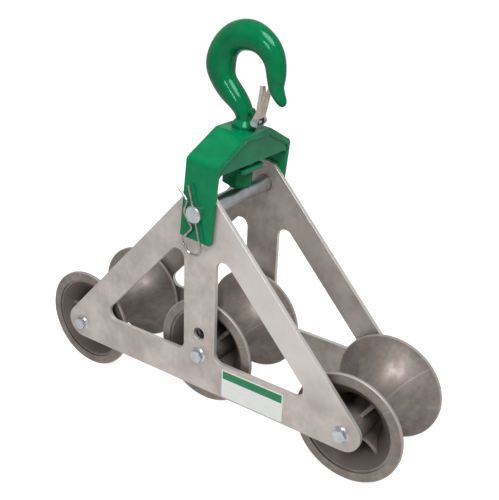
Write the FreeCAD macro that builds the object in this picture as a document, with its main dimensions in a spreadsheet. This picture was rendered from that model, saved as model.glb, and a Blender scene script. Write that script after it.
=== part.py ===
"""Triple cable pulling sheave.

Two triangular aluminium side plates carry three hollow cast sheaves on bolted axles, on an arc that a
pulled cable follows. A clevis yoke is pinned through the plates' tops and holds a forged swivel hook
with a sprung latch. Sizes are in millimetres. The origin is on the ground under the middle of the frame,
+X runs along the plates, +Y across them to the far side and +Z up.
"""
import FreeCAD, Part
import math
import os
import re
import Sketcher
from FreeCAD import Placement, Rotation, Vector

SIZES = {
    # frame: the side plates and where they carry the axles and the clevis pin
    "axle_span": 431.8,
    "middle_rise": 27.0,
    "pin_height": 229.0,
    "plate_thickness": 6.35,
    "plate_gap": 132.4,
    "plate_below_axle": 23.4,
    "plate_above_pin": 32.0,
    "plate_past_axle": 34.6,
    "plate_top_reach": 10.6,
    "plate_band": 38.1,
    "plate_lower_bar": 49.0,
    "strut_width": 50.0,
    "plate_corner_radius": 24.0,
    "plate_top_radius": 16.0,
    "window_corner_radius": 12.0,
    "strut_hole_rise": 58.4,
    "strut_hole_diameter": 17.5,
    "plate_edge_break": 0.5,
    # sheaves
    "sheave_diameter": 146.2,
    "sheave_width": 118.0,
    "throat_diameter": 66.0,
    "lip_edge": 4.0,
    "lip_inner_diameter": 121.0,
    "throat_wall": 6.0,
    "lip_edge_break": 1.0,
    "lip_step": 2.0,
    "hub_diameter": 42.0,
    "hub_length": 120.0,
    "web_thickness": 8.0,
    "rib_thickness": 5.0,
    "rib_lip_setback": 3.5,
    "rib_hub_setback": 8.0,
    "rib_scoop": 8.0,
    "left_phase": 12.0,
    "middle_phase": 40.0,
    "right_phase": 35.0,
    # axles, bushes, thrust washers and axle bolts
    "axle_diameter": 19.05,
    "bush_clearance": 0.06,
    "bush_wall": 3.2,
    "bush_length": 25.0,
    "bush_flange_diameter": 36.0,
    "bush_flange_thickness": 2.5,
    "washer_diameter": 34.0,
    "washer_clearance": 0.05,
    "side_clearance": 0.4,
    "bolt_diameter": 9.5,
    "bolt_hole_clearance": 0.4,
    "bolt_length": 30.0,
    "bolt_flange_diameter": 22.0,
    "bolt_flange_thickness": 2.2,
    "bolt_hex": 16.0,
    "bolt_head_height": 7.0,
    "tapping_depth": 32.0,
    # yoke and its clevis pin
    "yoke_lean": 5.7,
    "yoke_width": 47.6,
    "yoke_leg": 6.35,
    "yoke_side_clearance": 0.3,
    "yoke_below_pin": 37.0,
    "yoke_shoulder_rise": 65.5,
    "yoke_top_rise": 92.8,
    "yoke_underside_rise": 53.0,
    "yoke_top_length": 52.6,
    "yoke_inner_radius": 7.0,
    "yoke_bend_radius": 8.0,
    "yoke_edge_break": 1.2,
    "yoke_web_inset": 1.4,
    "pin_diameter": 22.2,
    "pin_clearance": 0.08,
    "pin_hole_clearance": 0.25,
    "pin_past_yoke": 9.2,
    "pin_head_diameter": 31.0,
    "pin_chamfer": 1.5,
    "pin_turn": -13.6,
    # hairpin clip through the pin's near end
    "clip_wire": 3.2,
    "clip_from_pin_end": 4.2,
    "clip_hole_clearance": 0.15,
    "clip_leg_above": 36.0,
    "clip_leg_below": 51.8,
    "clip_loop_width": 27.0,
    "clip_waist": 7.3,
    # hook, its nut and its latch
    "shank_diameter": 22.2,
    "shank_clearance": 0.1,
    "hook_seat_gap": 0.3,
    "collar_diameter": 30.5,
    "collar_height": 6.0,
    "bowl_radius": 40.2,
    "bowl_rise": 163.0,
    "bowl_offset": -3.5,
    "neck_depth": 22.0,
    "back_depth": 38.0,
    "saddle_depth": 36.0,
    "side_depth": 23.9,
    "point_depth": 13.9,
    "hook_flatness": 0.86,
    "point_length": 29.9,
    "point_flare": 17.1,
    "nut_hex": 36.5,
    "nut_height": 21.8,
    "thrust_washer_diameter": 38.0,
    "thrust_washer_thickness": 5.5,
    "plate_washer_side": 46.0,
    "plate_washer_corner": 4.0,
    "plate_washer_thickness": 5.5,
    "nut_pin_diameter": 4.0,
    "shank_below_nut": 5.0,
    "latch_pivot_offset": 20.6,
    "latch_pivot_rise": 105.3,
    "lug_thickness": 10.0,
    "lug_radius": 4.8,
    "lug_rise": 9.0,
    "latch_swing": 42.0,
    "latch_width": 16.5,
    "latch_tip_width": 22.0,
    "latch_web_offset": 3.2,
    "latch_ear_radius": 5.8,
    "latch_notch_width": 12.0,
    "latch_notch_depth": 11.0,
    "latch_sheet": 1.6,
    "latch_length": 47.0,
    "latch_depth": 4.2,
    "latch_lean": 4.5,
    "latch_bolt_diameter": 5.0,
    "latch_bolt_hex": 8.0,
    "latch_bolt_head": 3.5,
    "latch_bolt_clearance": 0.1,
    "spring_wire": 1.2,
    "spring_clearance": 0.3,
    "spring_leg": 14.0,
}

DOC = FreeCAD.newDocument("TripleSheave")


def make_sheet():
    """Write the driving sizes into the spreadsheet, one row and one alias each."""
    sheet = DOC.addObject("Spreadsheet::Sheet", "Sizes")
    for row, (alias, number) in enumerate(SIZES.items(), start=1):
        sheet.set(f"A{row}", alias)
        sheet.set(f"B{row}", str(number))
        sheet.setAlias(f"B{row}", alias)
    DOC.recompute()
    return sheet


SHEET = make_sheet()


def cells(text):
    """Turn the size names in a formula into references to the spreadsheet."""
    return re.sub(r"[a-z_]+", lambda word: f"Sizes.{word[0]}" if word[0] in SIZES else word[0], str(text))


def value(text):
    """Work out a formula of size names as a plain number."""
    return float(SHEET.evalExpression(cells(text)))


def bind(item, prop, text):
    """Bind one property to a formula of size names."""
    item.setExpression(prop, cells(text))


def place(item, x=0, y=0, z=0, axis=None, turn=0):
    """Place a sub-part at three formulas, turned about an axis by a formula in degrees."""
    item.Placement = Placement(Vector(), Rotation(axis or Vector(0, 0, 1), value(turn)))
    bind(item, "Placement.Base.x", x)
    bind(item, "Placement.Base.y", y)
    bind(item, "Placement.Base.z", z)
    if axis:
        bind(item, "Placement.Rotation.Angle", turn)


ACROSS = Vector(0, 1, 0)
ALONG = Vector(1, 0, 0)


def new_body(name):
    """Start a sub-part that is modelled from sketches."""
    body = DOC.addObject("PartDesign::Body", name)
    body.Label = name
    return body


def new_sketch(body, name, role):
    """Start a sketch on one of the body's own origin planes."""
    sketch = body.newObject("Sketcher::SketchObject", name)
    plane = next(piece for piece in body.Origin.OriginFeatures if piece.Role == role)
    sketch.AttachmentSupport = (plane, [""])
    sketch.MapMode = "FlatFace"
    return sketch


def pin_down(sketch, name, kind, where, text):
    """Add one dimension to a sketch and bind it to a formula of size names."""
    index = sketch.addConstraint(Sketcher.Constraint(kind, *where, value(text)))
    sketch.renameConstraint(index, name)
    bind(sketch, f"Constraints.{name}", text)


def arc_between(start, end, radius, turn):
    """Make the arc from start to end that turns left for 1 and right for -1."""
    chord = end - start
    left = Vector(-chord.y, chord.x, 0).normalize()
    rise = math.sqrt(radius ** 2 - (chord.Length / 2) ** 2)
    centre = (start + end) * 0.5 + left * rise * turn
    first, last = (start, end) if turn > 0 else (end, start)
    angles = [math.atan2(point.y - centre.y, point.x - centre.x) for point in (first, last)]
    return Part.ArcOfCircle(Part.Circle(centre, Vector(0, 0, 1), radius), *angles)


def draw_loop(sketch, name, corners):
    """Draw a closed loop through corners (x, y), or (x, y, radius, turn) where an arc leads there."""
    points = [Vector(value(corner[0]), value(corner[1]), 0) for corner in corners]
    ends = []
    for number, corner in enumerate(corners):
        start, end = points[number - 1], points[number]
        if len(corner) == 2:
            edge = sketch.addGeometry(Part.LineSegment(start, end))
            ends.append((edge, 1, 2))
        else:
            edge = sketch.addGeometry(arc_between(start, end, value(corner[2]), corner[3]))
            ends.append((edge, 1, 2) if corner[3] > 0 else (edge, 2, 1))
    for number, (edge, start, end) in enumerate(ends):
        before = ends[number - 1]
        sketch.addConstraint(Sketcher.Constraint("Coincident", before[0], before[2], edge, start))
        corner = corners[number]
        pin_down(sketch, f"{name}_x{number}", "DistanceX", (-1, 1, edge, end), corner[0])
        pin_down(sketch, f"{name}_y{number}", "DistanceY", (-1, 1, edge, end), corner[1])
        if len(corner) > 2:
            pin_down(sketch, f"{name}_r{number}", "Radius", (edge,), corner[2])


def draw_circle(sketch, name, x, y, diameter):
    """Draw a circle at two formulas, of a diameter that is a third."""
    circle = Part.Circle(Vector(value(x), value(y), 0), Vector(0, 0, 1), value(diameter) / 2)
    edge = sketch.addGeometry(circle)
    pin_down(sketch, f"{name}_x", "DistanceX", (-1, 1, edge, 3), x)
    pin_down(sketch, f"{name}_y", "DistanceY", (-1, 1, edge, 3), y)
    pin_down(sketch, f"{name}_d", "Diameter", (edge,), diameter)


def pad(body, sketch, name, length, both_ways=False):
    """Pad a sketch along its normal, or half each way."""
    feature = body.newObject("PartDesign::Pad", name)
    feature.Profile = sketch
    feature.SideType = "Symmetric" if both_ways else "One side"
    bind(feature, "Length", length)
    DOC.recompute()
    return feature


def pocket(body, sketch, name, length):
    """Cut a sketch half each way through the body, and make sure that it cuts."""
    before = body.Shape.Volume
    feature = body.newObject("PartDesign::Pocket", name)
    feature.Profile = sketch
    feature.SideType = "Symmetric"
    bind(feature, "Length", length)
    DOC.recompute()
    if not body.Shape.Volume < before:
        raise RuntimeError(f"{name} cuts nothing")
    return feature


def turned(body, sketch, name):
    """Turn a sketch about its own horizontal axis."""
    feature = body.newObject("PartDesign::Revolution", name)
    feature.Profile = sketch
    feature.ReferenceAxis = (sketch, ["H_Axis"])
    feature.Angle = 360
    DOC.recompute()
    return feature


def straight_edges(feature, spots, flat=(0, 2)):
    """Name the straight edges that stand on spots, read in the two given coordinates."""
    names = []
    for number, edge in enumerate(feature.Shape.Edges, start=1):
        if edge.Curve.TypeId != "Part::GeomLine":
            continue
        ends = [vertex.Point for vertex in edge.Vertexes]
        for spot in spots:
            target = [value(text) for text in spot]
            if all(abs(end[axis] - goal) < 0.01 for end in ends for axis, goal in zip(flat, target)):
                names.append(f"Edge{number}")
    return names


def dress(body, kind, base, name, prop, size, references):
    """Fillet or chamfer edges of a feature."""
    feature = body.newObject(f"PartDesign::{kind}", name)
    feature.Base = (base, references)
    bind(feature, prop, size)
    DOC.recompute()
    return feature


def solid(kind, name, **sizes):
    """Add a Part primitive whose sizes are formulas."""
    item = DOC.addObject(f"Part::{kind}", name)
    for prop, text in sizes.items():
        bind(item, prop, text)
    return item


def hexagon(name, across, height):
    """Make a hexagon's prism, the corners of its far end turned off at thirty degrees."""
    prism = solid("Prism", f"{name}_prism", Circumradius=f"{across} / sqrt(3)", Height=height)
    prism.Polygon = 6
    cone = solid("Cone", f"{name}_cone", Radius1=f"{across} / 2 + {height} * sqrt(3)", Radius2=f"{across} * 0.48",
                 Height=height)
    item = DOC.addObject("Part::Common", name)
    item.Base = prism
    item.Tool = cone
    return item


def joined(name, pieces):
    """Fuse primitives into one solid."""
    item = DOC.addObject("Part::MultiFuse", name)
    item.Shapes = pieces
    return item


def drilled(name, base, tool):
    """Cut one primitive from another."""
    item = DOC.addObject("Part::Cut", name)
    item.Base = base
    item.Tool = tool
    return item


def group(name, pieces):
    """Hold like pieces together as separate solids of one sub-part."""
    item = DOC.addObject("Part::Compound", name)
    item.Links = pieces
    return item


def crosswise(item, x, y, z):
    """Place a primitive with its own Z axis along +Y, starting at y."""
    place(item, x, y, z, ALONG, -90)


# The height of the end axles, where each axle lies in x and above the end axles, how far its sheave is turned,
# and how far each bell is turned about its upright middle line.
AXLE_HEIGHT = "sheave_diameter / 2"
AXLES = {
    "left": ("-axle_span / 2", "0"),
    "middle": ("0", "middle_rise"),
    "right": ("axle_span / 2", "0"),
}
PHASES = {"left": "left_phase", "middle": "middle_phase", "right": "right_phase"}
BELL_TURNS = {"near": "180", "far": "0"}
PIN_HEIGHT = f"{AXLE_HEIGHT} + pin_height"
PLATE_INNER = "plate_gap / 2"
PLATE_OUTER = "(plate_gap / 2 + plate_thickness)"
PLATE_TOP = "(pin_height + plate_above_pin)"
PLATE_REACH = "(axle_span / 2 + plate_past_axle)"
PLATE_SLOPE = f"(({PLATE_REACH} - plate_top_reach) / {PLATE_TOP})"
WINDOW_BOTTOM = "(plate_lower_bar - plate_below_axle)"
WINDOW_REACH = f"({PLATE_REACH} - plate_band * sqrt(1 + {PLATE_SLOPE} ^ 2))"


def plate_edge(height):
    """Give the plate's half length at a height above the end axles."""
    return f"({PLATE_REACH} - {PLATE_SLOPE} * {height})"


def window_corners(side):
    """Give one triangular window's three corners, right for 1 and left for -1."""
    return [
        (f"{side} * strut_width / 2", WINDOW_BOTTOM),
        (f"{side} * ({WINDOW_REACH} - {PLATE_SLOPE} * {WINDOW_BOTTOM})", WINDOW_BOTTOM),
        (f"{side} * strut_width / 2", f"({WINDOW_REACH} - strut_width / 2) / {PLATE_SLOPE}"),
    ]


def make_side_plate(name, y):
    """A flat triangular plate with two windows, the axle, pin and strut holes, and rounded corners."""
    body = new_body(name)
    low = [(f"{side} * {plate_edge('(-plate_below_axle)')}", "-plate_below_axle") for side in (-1, 1)]
    high = [(f"{side} * {plate_edge(PLATE_TOP)}", PLATE_TOP) for side in (1, -1)]
    windows = {"left": window_corners(-1), "right": window_corners(1)}
    sketch = new_sketch(body, f"{name}_outline", "XZ_Plane")
    draw_loop(sketch, "outline", low + high)
    for side, corners in windows.items():
        draw_loop(sketch, f"window_{side}", corners)
    for side, (x, rise) in AXLES.items():
        draw_circle(sketch, f"bolt_{side}", x, rise, "bolt_diameter + 2 * bolt_hole_clearance")
    draw_circle(sketch, "pin_hole", "0", "pin_height", "pin_diameter + 2 * pin_hole_clearance")
    draw_circle(sketch, "strut_hole", "0", "strut_hole_rise", "strut_hole_diameter")
    blank = pad(body, sketch, f"{name}_blank", "plate_thickness")
    lower = dress(body, "Fillet", blank, f"{name}_lower", "Radius", "plate_corner_radius",
                  straight_edges(blank, low))
    upper = dress(body, "Fillet", lower, f"{name}_upper", "Radius", "plate_top_radius",
                  straight_edges(lower, high))
    corners = windows["left"] + windows["right"]
    rounded = dress(body, "Fillet", upper, f"{name}_windows", "Radius", "window_corner_radius",
                    straight_edges(upper, corners))
    by_area = sorted(enumerate(rounded.Shape.Faces, start=1), key=lambda numbered: -numbered[1].Area)
    sides = [f"Face{number}" for number, face in by_area[:2]]
    dress(body, "Chamfer", rounded, f"{name}_edge_break", "Size", "plate_edge_break", sides)
    place(body, "0", y, AXLE_HEIGHT)
    return body


THROAT = "throat_diameter / 2"
RIM = "sheave_diameter / 2"
LIP = "(sheave_width / 2 - lip_edge)"
GROOVE_DEPTH = "((sheave_diameter - throat_diameter) / 2)"
GROOVE_RADIUS = f"(({LIP} ^ 2 + {GROOVE_DEPTH} ^ 2) / (2 * {GROOVE_DEPTH}))"
BELL_FLOOR = "(throat_diameter / 2 - throat_wall)"
BELL_DEPTH = f"(lip_inner_diameter / 2 - {BELL_FLOOR})"
BELL_RADIUS = f"(((sheave_width / 2) ^ 2 + {BELL_DEPTH} ^ 2) / (2 * {BELL_DEPTH}))"
BELL_END = "(sheave_width / 2 - lip_step)"
HUB_BORE = "(axle_diameter / 2 + bush_clearance + bush_wall)"


def bell_at(y):
    """Give the radius of the bell's inner wall at a distance from the sheave's middle."""
    return f"({BELL_FLOOR} + {BELL_RADIUS} - sqrt({BELL_RADIUS} ^ 2 - ({y}) ^ 2))"


def make_sheave_bell(side, end):
    """One bell of a sheave's casting: half of the hourglass groove's wall, ending in a turned lip."""
    name = f"sheave_bell_{side}_{end}"
    body = new_body(name)
    outline = new_sketch(body, f"{name}_section", "YZ_Plane")
    half, web = "sheave_width / 2", "web_thickness / 2"
    draw_loop(outline, "section", [
        ("0", THROAT),
        (LIP, RIM, GROOVE_RADIUS, 1),
        (f"{half} - lip_edge_break", RIM),
        (half, f"{RIM} - lip_edge_break"),
        (half, "lip_inner_diameter / 2"),
        (BELL_END, "lip_inner_diameter / 2"),
        (BELL_END, bell_at(BELL_END)),
        (web, bell_at(web), BELL_RADIUS, -1),
        ("0", bell_at(web)),
    ])
    turned(body, outline, f"{name}_turned")
    x, rise = AXLES[side]
    place(body, x, "0", f"{AXLE_HEIGHT} + {rise}", None, BELL_TURNS[end])
    return body


def make_sheave_hub(side):
    """The casting's inside: hub tube, middle web and four ribs in each bell, trimmed to the bells' wall."""
    name = f"sheave_hub_{side}"
    body = new_body(name)
    outline = new_sketch(body, f"{name}_section", "YZ_Plane")
    web, hub = "web_thickness / 2", "hub_length / 2"
    draw_loop(outline, "section", [
        (f"-{hub}", HUB_BORE),
        (f"-{hub}", "hub_diameter / 2"),
        (f"-{web}", "hub_diameter / 2"),
        (f"-{web}", bell_at(web)),
        (web, bell_at(web)),
        (web, "hub_diameter / 2"),
        (hub, "hub_diameter / 2"),
        (hub, HUB_BORE),
    ])
    turned(body, outline, f"{name}_turned")
    ribs = new_sketch(body, f"{name}_rib_outline", "YZ_Plane")
    edge, foot = "(sheave_width / 2 - rib_lip_setback)", f"(hub_diameter / 4 + {HUB_BORE} / 2)"
    rise = "(sheave_width / 2 - rib_hub_setback)"
    wall = f"({bell_at(edge)} + throat_wall / 3)"
    scoop = f"((({wall} - {foot}) ^ 2 + ({edge} - {rise}) ^ 2) / (8 * rib_scoop) + rib_scoop / 2)"
    draw_loop(ribs, "rib", [
        (f"-{rise}", foot),
        (f"-{edge}", wall, scoop, 1),
        (edge, wall),
        (rise, foot, scoop, 1),
    ])
    rib = pad(body, ribs, f"{name}_rib", "rib_thickness", both_ways=True)
    pattern = body.newObject("PartDesign::PolarPattern", f"{name}_ribs")
    pattern.Originals = [rib]
    pattern.Axis = (ribs, ["H_Axis"])
    pattern.Angle = 360
    pattern.Occurrences = 4
    body.Tip = pattern
    DOC.recompute()
    wall_outline = new_sketch(body, f"{name}_wall_outline", "YZ_Plane")
    draw_loop(wall_outline, "wall", [
        (f"-{BELL_END}", bell_at(BELL_END)),
        (f"-{web}", bell_at(web), BELL_RADIUS, 1),
        (web, bell_at(web)),
        (BELL_END, bell_at(BELL_END), BELL_RADIUS, 1),
        (BELL_END, RIM),
        (f"-{BELL_END}", RIM),
    ])
    before = body.Shape.Volume
    trim = body.newObject("PartDesign::Groove", f"{name}_trim")
    trim.Profile = wall_outline
    trim.ReferenceAxis = (wall_outline, ["H_Axis"])
    trim.Angle = 360
    DOC.recompute()
    if not body.Shape.Volume < before:
        raise RuntimeError(f"{name}_trim cuts nothing")
    x, rise = AXLES[side]
    place(body, x, "0", f"{AXLE_HEIGHT} + {rise}", ACROSS, PHASES[side])
    return body


def make_bushes(side):
    """The flanged bushes at a sheave's two ends, pressed into its hub."""
    x, rise = AXLES[side]
    height = f"{AXLE_HEIGHT} + {rise}"
    flange, end = "bush_flange_thickness", "hub_length / 2"
    pieces = []
    for hand, sign in (("near", -1), ("far", 1)):
        name = f"bush_{side}_{hand}"
        tube = solid("Cylinder", f"{name}_tube", Radius=HUB_BORE, Height="bush_length")
        crosswise(tube, x, f"-{end}" if sign < 0 else f"{end} - bush_length", height)
        rim = solid("Cylinder", f"{name}_rim", Radius="bush_flange_diameter / 2", Height=flange)
        crosswise(rim, x, f"-{end} - {flange}" if sign < 0 else end, height)
        bore = solid("Cylinder", f"{name}_bore", Radius="axle_diameter / 2 + bush_clearance", Height="plate_gap")
        crosswise(bore, x, f"-{PLATE_INNER}", height)
        pieces.append(drilled(name, joined(f"{name}_blank", [tube, rim]), bore))
    return group(f"bushes_{side}", pieces)


def make_axle(side):
    """A plain shaft between the plates, tapped at both ends."""
    x, rise = AXLES[side]
    height = f"{AXLE_HEIGHT} + {rise}"
    bar = solid("Cylinder", f"axle_{side}_bar", Radius="axle_diameter / 2", Height="plate_gap")
    crosswise(bar, x, f"-{PLATE_INNER}", height)
    taps = []
    for hand, start in (("near", f"-{PLATE_INNER}"), ("far", f"{PLATE_INNER} - tapping_depth")):
        tap = solid("Cylinder", f"axle_{side}_tap_{hand}", Radius="bolt_diameter / 2", Height="tapping_depth")
        crosswise(tap, x, start, height)
        taps.append(tap)
    return drilled(f"axle_{side}", bar, joined(f"axle_{side}_taps", taps))


def make_axle_washers():
    """The thrust washers between each sheave's bushes and the plates."""
    thickness = f"({PLATE_INNER} - hub_length / 2 - bush_flange_thickness - side_clearance)"
    pieces = []
    for side, (x, rise) in AXLES.items():
        for hand, start in (("near", f"-{PLATE_INNER}"), ("far", f"{PLATE_INNER} - {thickness}")):
            name = f"washer_{side}_{hand}"
            disc = solid("Cylinder", f"{name}_disc", Radius="washer_diameter / 2", Height=thickness)
            hole = solid("Cylinder", f"{name}_hole", Radius="axle_diameter / 2 + washer_clearance", Height=thickness)
            for item in (disc, hole):
                crosswise(item, x, start, f"{AXLE_HEIGHT} + {rise}")
            pieces.append(drilled(name, disc, hole))
    return group("axle_washers", pieces)


def make_axle_bolts(hand, sign):
    """Three flanged hexagon bolts, from outside one plate into the axles' ends."""
    pieces = []
    for side, (x, rise) in AXLES.items():
        name = f"bolt_{side}_{hand}"
        height = f"{AXLE_HEIGHT} + {rise}"
        shank = solid("Cylinder", f"{name}_shank", Radius="bolt_diameter / 2", Height="bolt_length")
        flange = solid("Cone", f"{name}_flange", Radius1="bolt_flange_diameter / 2",
                       Radius2="bolt_hex * 0.53", Height="bolt_flange_thickness")
        head = hexagon(f"{name}_hex", "bolt_hex", "bolt_head_height")
        face = PLATE_OUTER if sign > 0 else f"(-{PLATE_OUTER})"
        start = f"{face} - bolt_length" if sign > 0 else face
        crosswise(shank, x, start, height)
        turn = -90 if sign > 0 else 90
        for item in (flange, head):
            place(item, x, face, height, ALONG, turn)
        pieces.append(joined(name, [shank, flange, head]))
    return group(f"axle_bolts_{hand}", pieces)


LEG_INNER = f"({PLATE_OUTER} + yoke_side_clearance)"
LEG_OUTER = f"({LEG_INNER} + yoke_leg)"


def hang(item):
    """Place a sub-part that leans with the yoke; its own origin is on the clevis pin's axis."""
    place(item, "0", "0", PIN_HEIGHT, ACROSS, "yoke_lean")


SHOULDER_ANGLE = f"atan((yoke_top_rise - yoke_shoulder_rise) / ({LEG_OUTER} - yoke_top_length / 2))"
SHOULDER_SHIFT = f"(yoke_leg * (1 - sin({SHOULDER_ANGLE})) / cos({SHOULDER_ANGLE}))"
TOP_SHIFT = f"(yoke_leg * (1 - cos({SHOULDER_ANGLE})) / sin({SHOULDER_ANGLE}))"


def make_yoke():
    """A clevis yoke: a strap bent over the plates' tops, stiffened by a web between its legs and shoulders."""
    body = new_body("yoke")
    outline = new_sketch(body, "yoke_strap_outline", "YZ_Plane")
    shoulders = [(f"{side} * {LEG_OUTER}", "yoke_shoulder_rise") for side in (-1, 1)]
    top = [(f"{side} * yoke_top_length / 2", "yoke_top_rise") for side in (-1, 1)]
    under = [(f"{side} * {LEG_INNER}", f"yoke_shoulder_rise - {SHOULDER_SHIFT}") for side in (-1, 1)]
    ceiling = [(f"{side} * (yoke_top_length / 2 - {TOP_SHIFT})", "yoke_top_rise - yoke_leg") for side in (-1, 1)]
    draw_loop(outline, "strap", [
        (f"-{LEG_OUTER}", "-yoke_below_pin"),
        shoulders[0], top[0], top[1], shoulders[1],
        (LEG_OUTER, "-yoke_below_pin"),
        (LEG_INNER, "-yoke_below_pin"),
        under[1], ceiling[1], ceiling[0], under[0],
        (f"-{LEG_INNER}", "-yoke_below_pin"),
    ])
    strap = pad(body, outline, "yoke_strap", "yoke_width", both_ways=True)
    bends = dress(body, "Fillet", strap, "yoke_bends", "Radius", "yoke_bend_radius",
                  straight_edges(strap, shoulders + top, (1, 2)))
    ends = [f"Face{number}" for number, face in enumerate(bends.Shape.Faces, start=1)
            if abs(abs(face.CenterOfMass.x) - value("yoke_width / 2")) < 0.01]
    dress(body, "Chamfer", bends, "yoke_edge_break", "Size", "yoke_edge_break", ends)
    inset = new_sketch(body, "yoke_web_outline", "YZ_Plane")
    deep = "yoke_leg / 2"
    draw_loop(inset, "web", [
        (f"-{LEG_INNER} - {deep}", "yoke_underside_rise"),
        (f"-{LEG_INNER} - {deep}", under[0][1]),
        (ceiling[0][0], f"{ceiling[0][1]} + {deep}"),
        (ceiling[1][0], f"{ceiling[1][1]} + {deep}"),
        (f"{LEG_INNER} + {deep}", under[1][1]),
        (f"{LEG_INNER} + {deep}", "yoke_underside_rise"),
    ])
    web = pad(body, inset, "yoke_web", "yoke_width - 2 * yoke_web_inset", both_ways=True)
    inside = [(f"{side} * {LEG_INNER}", "yoke_underside_rise") for side in (-1, 1)]
    dress(body, "Fillet", web, "yoke_inner_corners", "Radius", "yoke_inner_radius",
          straight_edges(web, inside, (1, 2)))
    pin_hole = new_sketch(body, "yoke_pin_outline", "XZ_Plane")
    draw_circle(pin_hole, "pin", "0", "0", "pin_diameter + 2 * pin_clearance")
    pocket(body, pin_hole, "yoke_pin_hole", f"4 * {LEG_OUTER}")
    shank_hole = new_sketch(body, "yoke_shank_outline", "XY_Plane")
    draw_circle(shank_hole, "shank", "0", "0", "shank_diameter + 2 * shank_clearance")
    pocket(body, shank_hole, "yoke_shank_hole", "4 * yoke_top_rise")
    hang(body)
    return body


PIN_END = f"({LEG_OUTER} + pin_past_yoke)"
CLIP_REACH = f"({PIN_END} - clip_from_pin_end)"


def make_clevis_pin():
    """A headed pin, chamfered at its near end and cross-drilled there for the clip."""
    body = new_body("clevis_pin")
    section = new_sketch(body, "clevis_pin_section", "YZ_Plane")
    radius, end = "pin_diameter / 2", PIN_END
    head = f"({LEG_OUTER} + yoke_side_clearance)"
    draw_loop(section, "section", [
        (f"-{end}", "0"),
        (f"-{end}", f"{radius} - pin_chamfer"),
        (f"pin_chamfer - {end}", radius),
        (head, radius),
        (head, "pin_head_diameter / 2"),
        (f"{end} - pin_chamfer", "pin_head_diameter / 2"),
        (end, "pin_head_diameter / 2 - pin_chamfer"),
        (end, "0"),
    ])
    turned(body, section, "clevis_pin_turned")
    hole = new_sketch(body, "clevis_pin_hole_outline", "XY_Plane")
    draw_circle(hole, "hole", "0", f"-{CLIP_REACH}", "clip_wire + 2 * clip_hole_clearance")
    pocket(body, hole, "clevis_pin_hole", "2 * pin_diameter")
    place(body, "0", "0", PIN_HEIGHT, ACROSS, "pin_turn")
    return body


def wire_path(corners):
    """Join corners (point, radius) with straight runs and tangent arcs."""
    edges = []
    last = corners[0][0]
    for (before, _), (corner, radius), (after, _) in zip(corners, corners[1:], corners[2:]):
        arrive = (corner - before).normalize()
        leave = (after - corner).normalize()
        half_turn = arrive.getAngle(leave) / 2
        start = corner - arrive * radius * math.tan(half_turn)
        end = corner + leave * radius * math.tan(half_turn)
        inward = (leave - arrive).normalize()
        middle = corner + inward * radius * (1 / math.cos(half_turn) - 1)
        edges.append(Part.LineSegment(last, start).toShape())
        edges.append(Part.Arc(start, middle, end).toShape())
        last = end
    edges.append(Part.LineSegment(last, corners[-1][0]).toShape())
    return Part.Wire(edges)


def swept_wire(path, radius):
    """Sweep a round wire along a path."""
    start = path.Edges[0].Vertexes[0].Point
    along = path.Edges[0].tangentAt(path.Edges[0].FirstParameter)
    circle = Part.Wire([Part.Circle(start, along, radius).toShape()])
    return path.makePipeShell([circle], True, True)


def make_hitch_clip():
    """A hairpin clip: a straight leg through the pin, a loop, and a wavy leg that grips the pin's outside."""
    above, below = value("clip_leg_above"), value("clip_leg_below")
    loop, wire = value("clip_loop_width"), value("clip_wire")
    grip = value("pin_diameter / 2 + clip_wire / 2 + clip_hole_clearance")
    waist = value("clip_waist")
    y = -value(CLIP_REACH)
    corners = [
        (Vector(0, y, above), 0),
        (Vector(0, y, -below), loop * 0.33),
        (Vector(-loop * 0.68, y, -below - loop * 0.04), loop * 0.38),
        (Vector(-loop * 1.07, y, -below * 0.63), loop * 0.22),
        (Vector(-waist, y, -grip * 1.36), wire),
        (Vector(-grip * 1.19, y, grip * 0.25), grip * 0.6),
        (Vector(-waist * 0.9, y, grip * 1.32), wire),
        (Vector(-grip * 1.33, y, above * 0.96), 0),
    ]
    clip = DOC.addObject("Part::Feature", "hitch_clip")
    clip.Shape = swept_wire(wire_path(corners), value("clip_wire / 2"))
    place(clip, "0", "0", PIN_HEIGHT, ACROSS, "pin_turn")
    return clip


def hook_sections():
    """Give the hook's sections as (x, z, heading, depth, flatness), from its neck to its point."""
    across, up, radius = "bowl_offset", "bowl_rise", "bowl_radius"
    rows = [
        ("0", "yoke_top_rise + collar_height", 90, "neck_depth", "1"),
        ("-0.045 * neck_depth", "yoke_top_rise + collar_height + 0.36 * neck_depth", 100, "neck_depth", "1"),
        (f"{across} - 0.42 * {radius}", f"{up} - 0.87 * {radius}", 134, "(neck_depth + back_depth) / 2", "(1 + hook_flatness) / 2"),
        (f"{across} - 0.785 * {radius}", f"{up} - 0.56 * {radius}", 129, "(neck_depth + 2 * back_depth) / 3", "hook_flatness"),
    ]
    bowl = [
        (190, "back_depth"),
        (160, "(back_depth + saddle_depth) / 2"),
        (125, "saddle_depth"),
        (90, "saddle_depth"),
        (60, "(2 * saddle_depth + side_depth) / 3"),
        (30, "(saddle_depth + 2 * side_depth) / 3"),
        (0, "side_depth"),
    ]
    for angle, depth in bowl:
        rows.append((f"{across} + {radius} * cos({angle})", f"{up} + {radius} * sin({angle})",
                     angle - 90, depth, "hook_flatness"))
    point = [
        (0.4, -66, "(side_depth + 2 * point_depth) * 0.372"),
        (0.75, -50, "point_depth * 1.07"),
        (0.91, -44, "point_depth * 0.78"),
        (0.97, -42, "point_depth * 0.48"),
        (0.99, -42, "point_depth * 0.16"),
    ]
    for share, heading, depth in point:
        rows.append((f"{across} + {radius} + point_flare * {share} ^ 2", f"{up} - point_length * {share}",
                     heading, depth, "hook_flatness"))
    return rows


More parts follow.
